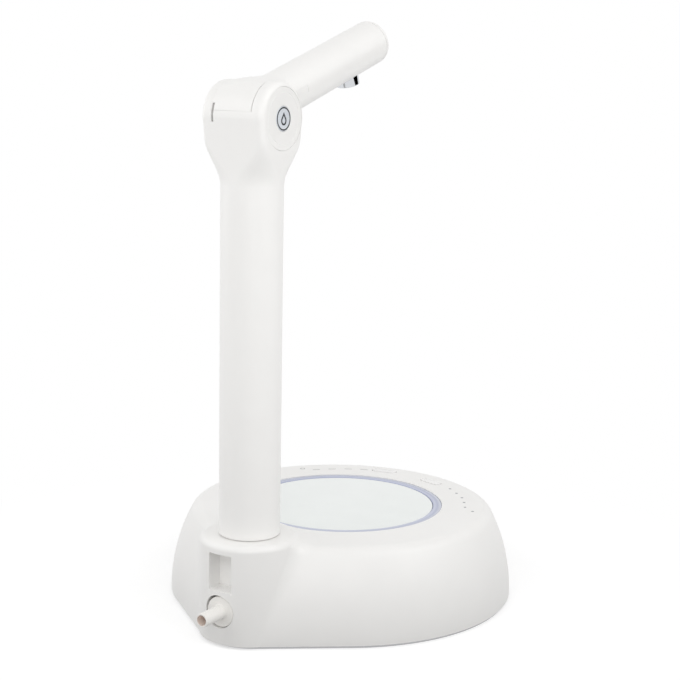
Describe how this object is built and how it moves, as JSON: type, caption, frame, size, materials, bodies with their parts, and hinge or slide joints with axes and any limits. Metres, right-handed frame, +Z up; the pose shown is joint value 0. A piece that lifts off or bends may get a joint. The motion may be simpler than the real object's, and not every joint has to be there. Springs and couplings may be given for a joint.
{
  "type": "folding desktop water dispenser pump",
  "caption": "White desktop water pump: teardrop base with a lit cup tray and touch marks, a column, and a hinged spout arm that folds down into the column.",
  "frame": {"origin": "middle of the part's outline box on the table that its feet stand on", "axes": "+Z up, -Y to the front where the touch marks are, +X to the user's right"},
  "size_m": [0.17, 0.1988, 0.2799],
  "materials": {
    "white_housing": "fine satin moulding",
    "white_cover": "satin moulding",
    "tray_plate": "smooth and slightly greenish white",
    "light_ring": "translucent lavender grey",
    "touch_key": "smooth",
    "mark_grey": "printed grey",
    "badge": "light blue grey inlay",
    "inlet_plastic": "smooth moulding",
    "inner_plastic": "natural nylon",
    "black_plastic": "moulded",
    "circuit_board": "solder mask",
    "lamp": "clear lens",
    "cell_wrap": "shrink sleeve",
    "silicone_hose": "translucent silicone",
    "foot_rubber": "soft",
    "steel": "plain",
    "chrome": "polished plating"
  },
  "bodies": {
    "stand": {"base_shell": "white_housing", "bottom_plate": "white_housing", "feet": "foot_rubber", "plate_screws": "steel", "tray_plate": "tray_plate", "light_ring": "light_ring", "led_board": "circuit_board", "ring_leds": "lamp", "touch_board": "circuit_board", "key_pads": "touch_key", "key_marks": "mark_grey", "battery_holder": "black_plastic", "battery_cell": "cell_wrap", "main_board": "circuit_board", "board_parts": "black_plastic", "board_screws": "steel", "pump_motor": "steel", "pump_head": "black_plastic", "pump_saddle": "foot_rubber", "pump_strap": "inner_plastic", "strap_screws": "steel", "inlet_fitting": "inlet_plastic", "inlet_seal": "foot_rubber", "suction_hose": "silicone_hose", "charge_socket": "steel", "charge_board": "circuit_board", "column": "white_housing", "column_screws": "steel", "riser_hose": "silicone_hose", "hinge_hose": "silicone_hose", "hinge_pins": "steel", "friction_washers": "inner_plastic", "hinge_cap_right": "white_cover", "hinge_cap_left": "white_cover", "hinge_badge": "badge"},
    "arm": {"arm_shell": "white_housing", "arm_end_cap": "white_cover", "nozzle_sleeve": "chrome", "nozzle_insert": "inner_plastic", "nozzle_elbow": "inner_plastic", "arm_hose": "silicone_hose"}
  },
  "joints": [
    {"name": "arm_fold", "type": "hinge", "parent": "stand", "child": "arm", "pos_m": [0, 0.064, 0.2357], "axis": [1, 0, 0], "range_deg": [0, 104], "deforming": ["hinge_hose"]}
  ]
}
